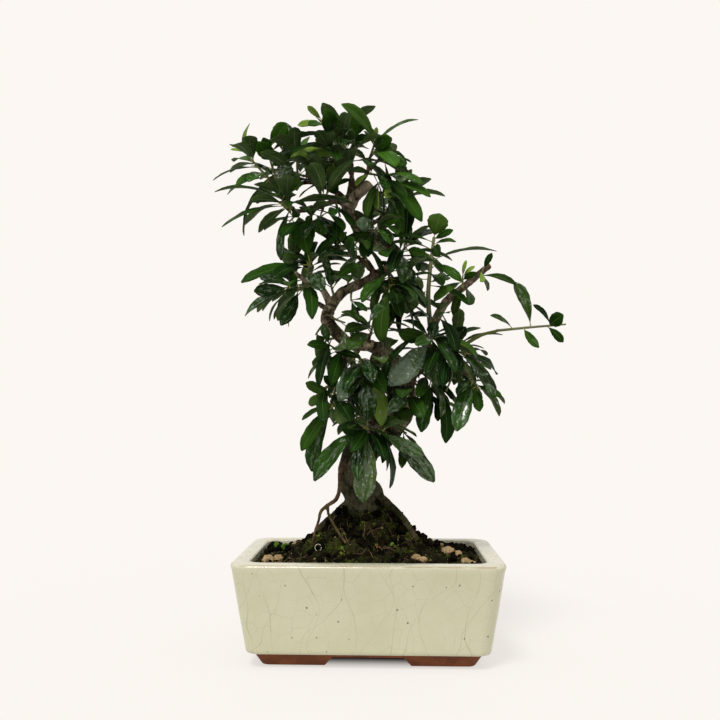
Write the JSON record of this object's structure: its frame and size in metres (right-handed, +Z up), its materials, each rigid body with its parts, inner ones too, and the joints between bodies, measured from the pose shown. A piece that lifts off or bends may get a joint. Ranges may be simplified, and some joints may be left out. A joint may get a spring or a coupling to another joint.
{
  "type": "firethorn bonsai in a pot",
  "caption": "Firethorn bonsai with a bent, knotted trunk and narrow glossy leaves, growing from a mound of soil in a low rectangular glazed pot on corner feet.",
  "frame": {"origin": "middle of the whole tree's footprint, on the table under the pot's feet", "axes": "+X to the right as seen from the front of the tree, +Y to the back, +Z up"},
  "size_m": [0.2864, 0.1658, 0.456],
  "materials": {
    "glaze": "cream celadon glaze with fine crackle, bare red-brown clay at the foot",
    "mesh_plastic": "matt black plastic mesh",
    "soil": "damp near-black potting soil with moss",
    "bark": "rough grey-brown bark",
    "pumice": "rough tan pumice",
    "leaf": "glossy dark green, paler below"
  },
  "bodies": {
    "root": {"drain_screen_left": "mesh_plastic", "drain_screen_right": "mesh_plastic", "pebble_back": "pumice", "pot": "glaze", "pumice_corner": "pumice", "pumice_front": "pumice", "pumice_left": "pumice", "pumice_left_back": "pumice", "pumice_right": "pumice", "pumice_right_back": "pumice", "shoot_back_foot": "leaf", "shoot_back_left": "leaf", "shoot_back_low": "leaf", "shoot_back_middle": "leaf", "shoot_back_right": "leaf", "shoot_back_upper": "leaf", "shoot_bend_front": "leaf", "shoot_centre_front": "leaf", "shoot_centre_right": "leaf", "shoot_centre_top": "leaf", "shoot_crown_back": "leaf", "shoot_crown_back_left": "leaf", "shoot_crown_left": "leaf", "shoot_crown_low_right": "leaf", "shoot_crown_right": "leaf", "shoot_crown_top": "leaf", "shoot_far_right": "leaf", "shoot_fork": "leaf", "shoot_left_inner": "leaf", "shoot_left_low": "leaf", "shoot_left_low_tip": "leaf", "shoot_left_mid_low": "leaf", "shoot_left_mid_up": "leaf", "shoot_low_front": "leaf", "shoot_low_front_right": "leaf", "shoot_low_middle": "leaf", "shoot_low_right_far": "leaf", "shoot_low_right_front": "leaf", "shoot_low_right_inner": "leaf", "shoot_low_right_mid": "leaf", "shoot_middle": "leaf", "shoot_north_west": "leaf", "shoot_sawn_end": "leaf", "shoot_sawn_middle": "leaf", "shoot_spray_inner": "leaf", "shoot_spray_left": "leaf", "shoot_trunk_right": "leaf", "shoot_upper_left_inner": "leaf", "shoot_upright": "leaf", "shoot_west_tip": "leaf", "shoot_west_top": "leaf", "soil": "soil", "trunk": "bark"}
  },
  "joints": []
}
